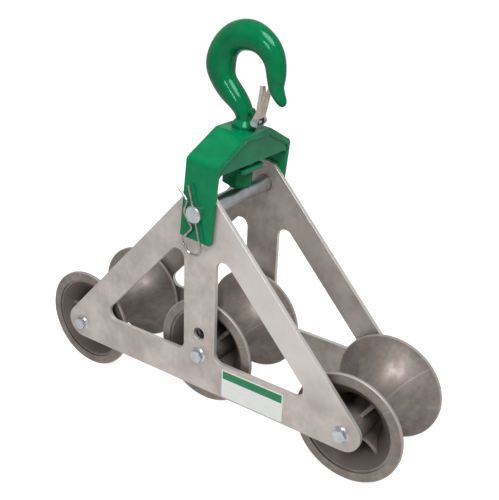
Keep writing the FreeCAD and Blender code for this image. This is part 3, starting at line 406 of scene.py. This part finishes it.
class PlateSettings(bpy.types.PropertyGroup):
    """Tones of the side plates, the far plate's darker as painted shade, the arm's painted
    highlight, and size of the blank label.
    """

    dull: StringProperty(
        name="Near plate, dull",
        description="sRGB colour of the near plate's dullest clouds",
        default="#B8AFA8",
    )
    middle: StringProperty(
        name="Near plate, middle",
        description="sRGB colour of most of the near plate",
        default="#C4BBB5",
    )
    bright: StringProperty(
        name="Near plate, bright",
        description="sRGB colour of the near plate's cleanest parts",
        default="#D1C9C3",
    )
    # painted shade: the far plate is the same aluminium as the near one, in darker tones for the
    # shade it stands in
    far_dull_painted_shade: StringProperty(
        name="Far plate, dull",
        description="sRGB colour of the far plate's dullest clouds",
        default="#A1978F",
    )
    far_middle_painted_shade: StringProperty(
        name="Far plate, middle",
        description="sRGB colour of most of the far plate",
        default="#B2A9A2",
    )
    far_bright_painted_shade: StringProperty(
        name="Far plate, bright",
        description="sRGB colour of the far plate's cleanest parts",
        default="#C0B8B1",
    )
    # the cut edges' colour, which also paints the highlight on the arm above the right sheave
    edge: StringProperty(
        name="Edges",
        description="sRGB colour of the plates' cut edges, and of rubbed metal",
        default="#DAD6D2",
    )
    # painted highlight: how bright the near plate's arm above the right sheave is painted
    painted_highlight: FloatProperty(
        name="Near rubbing",
        description="How far the near plate's arm above the right sheave is rubbed bright",
        default=0.85,
        min=0.0,
        max=1.0,
        subtype="FACTOR",
    )
    # painted highlight: how bright the far plate's arm above the right sheave is painted
    far_painted_highlight: FloatProperty(
        name="Far rubbing",
        description="How far the far plate's arm above the right sheave is rubbed bright",
        default=0.1,
        min=0.0,
        max=1.0,
        subtype="FACTOR",
    )
    label_length: FloatProperty(
        name="Label length",
        description="Length of the blank label",
        default=0.094,
        unit="LENGTH",
    )
    label_height: FloatProperty(
        name="Label height",
        description="Height of the blank label",
        default=0.041,
        unit="LENGTH",
    )


class CastingSettings(bpy.types.PropertyGroup):
    """Tones of the cast sheaves."""

    dull: StringProperty(
        name="Dull skin",
        description="sRGB colour of the skin's darkest blotches",
        default="#80776F",
    )
    skin: StringProperty(
        name="Casting skin",
        description="sRGB colour of most of the casting skin",
        default="#8B817B",
    )
    rubbed: StringProperty(
        name="Rubbed skin",
        description="sRGB colour where cable has rubbed the skin",
        default="#968D87",
    )
    # painted shade: the bells' inner faces and ribs get this darker tone for the shade in the
    # hollows
    inside: StringProperty(
        name="Inside",
        description="sRGB colour of the bells' inner faces and ribs",
        default="#665D58",
    )
    # also the colour of the rims' painted highlight and of the seam
    turned: StringProperty(
        name="Turned metal",
        description="sRGB colour where the casting was turned",
        default="#B4ACA6",
    )


class PaintSettings(bpy.types.PropertyGroup):
    """The enamel on the yoke and the hook."""

    yoke: StringProperty(
        name="Yoke enamel",
        description="sRGB colour of the yoke's enamel",
        default="#007C4B",
    )
    yoke_thick: StringProperty(
        name="Thick yoke enamel",
        description="sRGB colour where the yoke's enamel lies thicker",
        default="#007246",
    )
    hook: StringProperty(
        name="Hook enamel",
        description="sRGB colour of the hook's enamel",
        default="#006E41",
    )
    hook_thick: StringProperty(
        name="Thick hook enamel",
        description="sRGB colour where the hook's enamel lies thicker",
        default="#00623C",
    )
    roughness: FloatProperty(
        name="Roughness",
        description="How far the enamel's shine is spread",
        default=0.17,
        min=0.0,
        max=1.0,
        subtype="FACTOR",
    )


class StudioSettings(bpy.types.PropertyGroup):
    """Floor, lamps and the light from all round."""

    floor: StringProperty(
        name="Floor",
        description="sRGB colour of the floor",
        default="#C8C8C8",
    )
    lift: FloatProperty(
        name="Floor lift",
        description="How much whiter than by light alone the background shows the floor",
        default=0.85,
        min=0.0,
    )
    room: FloatProperty(
        name="Room light",
        description="Strength of the light from all round",
        default=0.3,
        min=0.0,
    )
    key: FloatProperty(
        name="Key lamp",
        description="Power of the main soft lamp",
        default=31.0,
        min=0.0,
        subtype="POWER",
    )
    fill: FloatProperty(
        name="Fill lamp",
        description="Power of the softer side lamp",
        default=4.0,
        min=0.0,
        subtype="POWER",
    )
    glint: FloatProperty(
        name="Glint lamp",
        description="Power of the small lamp",
        default=6.0,
        min=0.0,
        subtype="POWER",
    )


# ---- operators, one for each piece or group of like pieces


class SHEAVE_OT_plates(bpy.types.Operator):
    """Finish the two side plates"""

    bl_idname = "sheave.plates"
    bl_label = "Side plates"

    def execute(self, context):
        tone = context.scene.sheave_plates
        # the far plate takes the same finish in darker tones, as painted shade, and a weaker
        # painted highlight
        for side, *finish in (
            ("near", tone.dull, tone.middle, tone.bright, tone.painted_highlight),
            ("far", tone.far_dull_painted_shade, tone.far_middle_painted_shade, tone.far_bright_painted_shade, tone.far_painted_highlight),
        ):
            dress(f"side_plate_{side}", mill_finish_aluminium_painted_light(side, *finish))
        return {"FINISHED"}


class SHEAVE_OT_castings(bpy.types.Operator):
    """Finish the three cast sheaves and their bushes"""

    bl_idname = "sheave.castings"
    bl_label = "Sheaves"

    def execute(self, context):
        bronze = sintered_bronze()
        for side in ("left", "middle", "right"):
            cast = sand_cast_aluminium(side)
            for node in castings(side):
                dress(node, cast)
            dress(f"bushes_{side}", bronze)
        return {"FINISHED"}


class SHEAVE_OT_hardware(bpy.types.Operator):
    """Finish the axles, their bolts and washers, the clevis pin, the clip and the latch's bolt"""

    bl_idname = "sheave.hardware"
    bl_label = "Axles and fasteners"

    def execute(self, context):
        zinc, steel = bright_zinc(), turned_steel()
        for node in ("axle_left", "axle_middle", "axle_right"):
            dress(node, steel)
        for node in ("axle_washers", "axle_bolts_near", "axle_bolts_far", "clevis_pin",
                     "latch_bolt", "latch_nut"):
            dress(node, zinc)
        dress("hitch_clip", zinc_plated_wire())
        return {"FINISHED"}


class SHEAVE_OT_painted(bpy.types.Operator):
    """Finish the painted yoke and hook, with the nut, pin and washers between them"""

    bl_idname = "sheave.painted"
    bl_label = "Yoke and hook"

    def execute(self, context):
        paint = context.scene.sheave_paint
        on_yoke = gloss_enamel("yoke", paint.yoke, paint.yoke_thick)
        on_hook = gloss_enamel("hook", paint.hook, paint.hook_thick)
        for node in ("yoke", "hook_plate_washer", "hook_thrust_washer"):
            dress(node, on_yoke)
        for node in ("hook", "hook_nut", "hook_nut_pin"):
            dress(node, on_hook)
        return {"FINISHED"}


class SHEAVE_OT_weld(bpy.types.Operator):
    """Run a weld bead round each face of the yoke's web"""

    bl_idname = "sheave.weld"
    bl_label = "Weld beads"

    # where the web meets the strap, across the yoke and above its pin, in millimetres
    corners = (
        (-72.5, 57.0), (-72.5, 61.4), (-24.7, 86.1), (24.7, 86.1), (72.5, 61.4), (72.5, 57.0),
    )
    # the web's face from the yoke's middle, the bead's radius, a ripple's length and a step's
    face, radius, ripple, step = 22.9, 1.7, 3.2, 0.65
    # how far the hand strays at a step, how much of that it keeps at the next, and the seed for it
    shake, kept, seed = 0.07, 0.9, 4

    def execute(self, context):
        enamel = bpy.data.materials["gloss_enamel_yoke"]
        turn = Matrix.Translation((0, 0, PIN_HEIGHT)) @ Matrix.Rotation(math.radians(LEAN), 4, "Y")
        for name, side in (("weld_bead_left", -1), ("weld_bead_right", 1)):
            shape = bmesh.new()
            self.run(shape, side)
            shape.transform(Matrix.Scale(MM, 4) @ turn)
            mesh = closed_mesh(name, shape)
            mesh.shade_smooth()
            piece(name, mesh, "yoke", "green_paint", enamel)
        return {"FINISHED"}

    def run(self, shape, side):
        """Lay a rippled bead along the corners, a little unsteady, as by a hand-held torch."""
        hand = random.Random(self.seed + side)
        path = []
        for (y0, z0), (y1, z1) in zip(self.corners, self.corners[1:]):
            steps = max(2, round(math.hypot(y1 - y0, z1 - z0) / self.step))
            path += [(y0 + (y1 - y0) * s / steps, z0 + (z1 - z0) * s / steps) for s in range(steps)]
        path = [Vector((side * self.face, y, z)) for y, z in (*path, self.corners[-1])]
        out = Vector((side, 0, 0))
        middles, sizes, travelled, wander = [], [], 0.0, 0.0
        for here, point in enumerate(path):
            travelled += (point - path[max(0, here - 1)]).length
            wander = self.kept * wander + hand.uniform(-self.shake, self.shake)
            # thin where it starts and stops, and a third thicker on the crest of each ripple
            ends = min(1.0, 0.35 + 0.3 * min(here, len(path) - 1 - here))
            crest = 0.9 + 0.3 * abs(math.sin(math.pi * travelled / self.ripple)) + 0.5 * wander
            sizes.append(self.radius * ends * crest)
            middles.append(point + heading(path, here).cross(out) * wander)
        tube(shape, middles, sizes, out)


class SHEAVE_OT_latch(bpy.types.Operator):
    """Finish the hook's latch, and draw its spring in two halves that slide round the bolt"""

    bl_idname = "sheave.latch"
    bl_label = "Latch"

    # in millimetres, from the near side with the bolt at the middle: each half's name and body, its
    # end and corner, and the first and last angle of its arc round the bolt
    halves = (
        ("spring_on_latch", "latch", (0.7, 14.0), (0.7, 5.94), 29.0, -94.0),
        ("spring_on_hook", "swivel_hook", (-12.32, 8.68), (-3.74, 2.04), 186.0, 322.0),
    )
    # each wire's place beside the lug's middle, the wire's and the coil's radii, the bend's length
    beside, wire, coil, bend = 5.9, 0.6, 3.5, 1.5
    # past this angle the hook's half runs inside the latch's, which opens 42 degrees, and is thin
    slips_in, slipped = 264.0, 0.5
    arc_steps, bend_steps = 24, 6

    def execute(self, context):
        dress("latch", pressed_sheet_steel())
        oiled = oiled_spring_wire()
        low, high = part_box("latch_bolt")
        bolt = Matrix.Translation(((low[0] + high[0]) / 2, 0, (low[2] + high[2]) / 2))
        turn = bolt @ Matrix.Rotation(math.radians(LEAN), 4, "Y") @ Matrix.Scale(MM, 4)
        for name, body, end, corner, first, last in self.halves:
            shape = bmesh.new()
            for hand in (-self.beside, self.beside):
                self.wind(shape, hand, Vector(end), Vector(corner), first, last)
            shape.transform(turn)
            mesh = closed_mesh(name, shape)
            mesh.shade_smooth()
            half = piece(name, mesh, body, "spring_steel", oiled)
            if body == "latch":
                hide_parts("latch_spring")
        return {"FINISHED"}

    def wind(self, shape, hand, end, corner, first, last):
        """Bend one half's wire: a leg, a rounded corner and an arc round the bolt."""
        angles = [first + (last - first) * s / self.arc_steps for s in range(self.arc_steps + 1)]
        arc = [Vector((math.cos(math.radians(a)), math.sin(math.radians(a)))) * self.coil
               for a in angles]
        into = corner + (end - corner).normalized() * self.bend
        away = corner + (arc[0] - corner).normalized() * self.bend
        shares = [s / self.bend_steps for s in range(self.bend_steps + 1)]
        leg = [end] + [into.lerp(corner, s).lerp(corner.lerp(away, s), s) for s in shares]
        radii = [self.wire] * len(leg)
        radii += [self.slipped if a > self.slips_in else self.wire for a in angles]
        path = [Vector((x, hand, z)) for x, z in leg + arc]
        tube(shape, path, radii, Vector((0, 1, 0)), sides=10)


class SHEAVE_OT_label(bpy.types.Operator):
    """Stick the blank label on the near plate's lower bar"""

    bl_idname = "sheave.label"
    bl_label = "Blank label"

    # the label's lower left corner, its thickness and its white margin, in millimetres
    left, low, thick, margin = 39, 52.3, 0.25, 1.6
    # how far up its height the green band starts
    band = 0.68

    def execute(self, context):
        size = context.scene.sheave_plates
        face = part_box("side_plate_near")[0][1]
        left, low = self.left * MM, self.low * MM
        thick, margin = self.thick * MM, self.margin * MM
        right, top = left + size.label_length, low + size.label_height
        # three cells by three, of which the one in the middle is green
        along = (left, left + margin, right - margin, right)
        up = (low, low + self.band * size.label_height, top - margin, top)
        shape = bmesh.new()
        front, back = ([[shape.verts.new((x, face - depth, z)) for x in along] for z in up]
                       for depth in (thick, thick / 10))
        for row in range(3):
            for column in range(3):
                for grid in (front, back):
                    cell = shape.faces.new((grid[row][column], grid[row][column + 1],
                                            grid[row + 1][column + 1], grid[row + 1][column]))
                    cell.material_index = int(row == 1 and column == 1)
        rims = [[(0, k) for k in range(4)], [(k, 3) for k in range(4)],
                [(3, 3 - k) for k in range(4)], [(3 - k, 0) for k in range(4)]]
        for rim in rims:
            for (r0, c0), (r1, c1) in zip(rim, rim[1:]):
                shape.faces.new((front[r0][c0], front[r1][c1], back[r1][c1], back[r0][c0]))
        white = vinyl("white_vinyl", "#E6E8E5", "#CFD3CF")
        green = vinyl("green_vinyl", "#0E7A4B", "#4E9A78")
        mesh = closed_mesh("blank_label", shape)
        piece("blank_label", mesh, "frame", "plate_aluminium", white, green)
        return {"FINISHED"}


class SHEAVE_OT_studio(bpy.types.Operator):
    """Lay the floor, hang the lamps and set up the camera"""

    bl_idname = "sheave.studio"
    bl_label = "Studio"

    # the camera as fitted to the photograph: angles in degrees, lengths in millimetres and pixels
    azimuth, elevation, roll = 34.09, 24.12, 2.33
    distance, focal_pixels = 1031.95, 794.98
    target = (25.2, 0.0, 233.29)
    # how much of the white background shiny surfaces show, as a studio's unlit side leaves it
    mirrored = 0.25
    # in metres: half the floor's width, the point the lamps face, and each lamp's place and width
    reach = 12.0
    aim = (0.0, 0.0, 0.2)
    lamps = (
        ("key", (0.7, -0.6, 1.85), 1.0),
        ("fill", (-1.3, -0.9, 1.3), 1.0),
        ("glint", (0.22, -1.6, 1.04), 0.4),
    )

    def execute(self, context):
        self.lay_floor(context.scene)
        self.light_room(context.scene)
        self.hang_lamps(context.scene)
        self.stand_camera(context.scene)
        context.scene.view_settings.view_transform = "Standard"
        return {"FINISHED"}

    def lay_floor(self, scene):
        """A matt pale floor that the camera sees as white paper, with the object's shadow on it."""
        studio = scene.sheave_studio
        mesh = bpy.data.meshes.new("floor")
        square = ((-1, -1), (1, -1), (1, 1), (-1, 1))
        corners = [(x * self.reach, y * self.reach, 0) for x, y in square]
        mesh.from_pydata(corners, [], [(0, 1, 2, 3)])
        floor = bpy.data.objects.new("floor", mesh)
        scene.collection.objects.link(floor)
        material, tree, shader = start("matt_paper", Base_Color=linear(studio.floor), Roughness=0.9)
        shader.inputs["Emission Color"].default_value = (1, 1, 1, 1)
        lift = add(tree, "ShaderNodeMath", self.seen_rays(tree), studio.lift, operation="MULTIPLY")
        tree.links.new(lift, shader.inputs["Emission Strength"])
        mesh.materials.append(material)

    def seen_rays(self, tree):
        """Tell rays that show the background, straight or in a shine, from those that light."""
        path = add(tree, "ShaderNodeLightPath").node.outputs
        mirror = add(tree, "ShaderNodeMath", path["Is Glossy Ray"], path["Is Transmission Ray"],
                     operation="ADD")
        return add(tree, "ShaderNodeMath", mirror, self.mirrored, path["Is Camera Ray"],
                   operation="MULTIPLY_ADD", use_clamp=True)

    def light_room(self, scene):
        """Light from all round, which the camera sees as white and shiny metal sees in part."""
        world = bpy.data.worlds.new("studio")
        scene.world = world
        world.use_nodes = True
        tree = world.node_tree
        back = tree.nodes["Background"]
        back.inputs["Color"].default_value = (1, 1, 1, 1)
        room = scene.sheave_studio.room
        strength = add(tree, "ShaderNodeMapRange", self.seen_rays(tree), 0.0, 1.0, room, 1.0)
        tree.links.new(strength, back.inputs["Strength"])

    def hang_lamps(self, scene):
        """Soft lamps: the key high on the right, a fill that gloss doesn't show, one for glints."""
        studio, aim = scene.sheave_studio, Vector(self.aim)
        for name, stand, width in self.lamps:
            lamp = bpy.data.lights.new(name, "AREA")
            lamp.shape, lamp.size, lamp.energy = "DISK", width, getattr(studio, name)
            hung = bpy.data.objects.new(name, lamp)
            hung.location = stand
            hung.rotation_euler = (aim - hung.location).to_track_quat("-Z", "Y").to_euler()
            hung.visible_glossy = name != "fill"
            scene.collection.objects.link(hung)

    def stand_camera(self, scene):
        """The camera where the photograph was taken from, with the photograph's field of view."""
        turn, lift = math.radians(self.azimuth), math.radians(self.elevation)
        cos, sin = math.cos(math.radians(self.roll)), math.sin(math.radians(self.roll))
        flat = math.cos(lift)
        back = Vector((math.sin(turn) * flat, -math.cos(turn) * flat, math.sin(lift)))
        level = Vector((math.cos(turn), math.sin(turn), 0))
        upright = back.cross(level)
        right, up = level * cos + upright * sin, upright * cos - level * sin
        lens = bpy.data.cameras.new("camera")
        lens.sensor_fit, lens.sensor_width = "HORIZONTAL", SENSOR_WIDTH
        lens.lens = self.focal_pixels * SENSOR_WIDTH / PHOTO_WIDTH
        camera = bpy.data.objects.new("camera", lens)
        stand = (Vector(self.target) + back * self.distance) * MM
        aimed = Matrix((right, up, back)).transposed().to_4x4()
        camera.matrix_world = Matrix.Translation(stand) @ aimed
        scene.collection.objects.link(camera)
        scene.camera = camera


class SHEAVE_PT_panel(bpy.types.Panel):
    """Settings and pieces of the cable pulling sheave"""

    bl_idname = "SHEAVE_PT_panel"
    bl_label = "Cable Pulling Sheave"
    bl_space_type = "VIEW_3D"
    bl_region_type = "UI"
    bl_category = "Sheave"

    def draw(self, context):
        layout = self.layout
        for name in SETTINGS:
            group = getattr(context.scene, name)
            box = layout.box()
            for prop in group.bl_rna.properties:
                if prop.identifier not in {"rna_type", "name"}:
                    box.prop(group, prop.identifier)
        for operator in OPERATORS:
            layout.operator(operator.bl_idname)


SETTINGS = {
    "sheave_plates": PlateSettings,
    "sheave_castings": CastingSettings,
    "sheave_paint": PaintSettings,
    "sheave_studio": StudioSettings,
}
OPERATORS = (
    SHEAVE_OT_plates,
    SHEAVE_OT_castings,
    SHEAVE_OT_hardware,
    SHEAVE_OT_painted,
    SHEAVE_OT_weld,
    SHEAVE_OT_latch,
    SHEAVE_OT_label,
    SHEAVE_OT_studio,
)


def register():
    """Make the settings, operators and panel known to Blender."""
    for name, group in SETTINGS.items():
        bpy.utils.register_class(group)
        setattr(bpy.types.Scene, name, PointerProperty(type=group))
    for made in (*OPERATORS, SHEAVE_PT_panel):
        bpy.utils.register_class(made)


def unregister():
    """Take the panel, operators and settings away again."""
    for made in (SHEAVE_PT_panel, *reversed(OPERATORS)):
        bpy.utils.unregister_class(made)
    for name, group in SETTINGS.items():
        delattr(bpy.types.Scene, name)
        bpy.utils.unregister_class(group)


def main():
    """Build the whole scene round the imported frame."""
    register()
    for operator in OPERATORS:
        group, action = operator.bl_idname.split(".")
        getattr(getattr(bpy.ops, group), action)()


if __name__ == "__main__":
    main()
